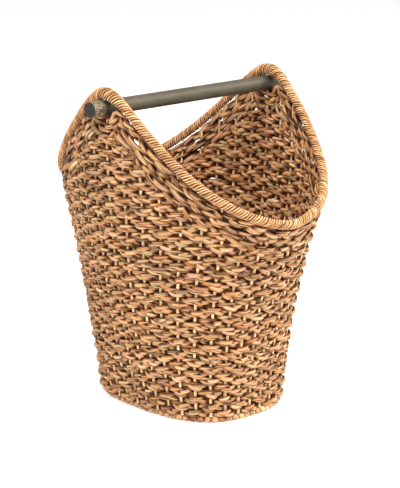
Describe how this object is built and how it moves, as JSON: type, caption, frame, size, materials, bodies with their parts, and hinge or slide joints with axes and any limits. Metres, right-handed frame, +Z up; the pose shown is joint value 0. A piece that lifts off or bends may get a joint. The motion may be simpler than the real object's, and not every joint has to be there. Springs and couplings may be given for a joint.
{
  "type": "toilet paper basket",
  "caption": "Oval woven storage basket with a rim that rises to two peaks, and a loose metal rod passed through an eye under each peak to hold a roll or serve as a handle.",
  "frame": {"origin": "on the floor, under the middle of the basket", "axes": "+Z up, +X along the rod towards the far peak of the picture, +Y across the rod towards the back dip"},
  "size_m": [0.338, 0.3782, 0.4262],
  "materials": {
    "plaited_leaf": "dry twisted plant leaf, matt",
    "cane_upright": "thin pale cane, matt",
    "rim_twine": "fine twisted twine, matt",
    "bent_cane": "peeled cane, hidden under twine",
    "rod_metal": "aged grey-olive metal, satin",
    "plug": "dark grey, satin"
  },
  "bodies": {
    "basket": {"base_mat": "plaited_leaf", "foot_rope": "plaited_leaf", "side_weave": "plaited_leaf", "border_rope_1": "plaited_leaf", "border_rope_2": "plaited_leaf", "border_rope_3": "plaited_leaf", "stake_01": "cane_upright", "stake_02": "cane_upright", "stake_03": "cane_upright", "stake_04": "cane_upright", "stake_05": "cane_upright", "stake_06": "cane_upright", "stake_07": "cane_upright", "stake_08": "cane_upright", "stake_09": "cane_upright", "stake_10": "cane_upright", "stake_11": "cane_upright", "stake_12": "cane_upright", "stake_13": "cane_upright", "stake_14": "cane_upright", "stake_15": "cane_upright", "stake_16": "cane_upright", "stake_17": "cane_upright", "stake_18": "cane_upright", "stake_19": "cane_upright", "stake_20": "cane_upright", "stake_21": "cane_upright", "stake_22": "cane_upright", "stake_23": "cane_upright", "stake_24": "cane_upright", "stake_25": "cane_upright", "stake_26": "cane_upright", "stake_27": "cane_upright", "stake_28": "cane_upright", "stake_29": "cane_upright", "stake_30": "cane_upright", "stake_31": "cane_upright", "stake_32": "cane_upright", "stake_33": "cane_upright", "stake_34": "cane_upright", "stake_35": "cane_upright", "stake_36": "cane_upright", "stake_37": "cane_upright", "stake_38": "cane_upright", "rim_hoop": "bent_cane", "rim_binding_back": "rim_twine", "rim_binding_front": "rim_twine", "rim_winding_far": "rim_twine", "rim_winding_near": "rim_twine"},
    "rod": {"rod_tube": "rod_metal", "rod_plug_far": "plug", "rod_plug_near": "plug"}
  },
  "joints": [
    {"name": "rod_slide", "type": "slide", "parent": "basket", "child": "rod", "axis": [1, 0, 0], "range_m": [-0.33, 0.33]}
  ]
}
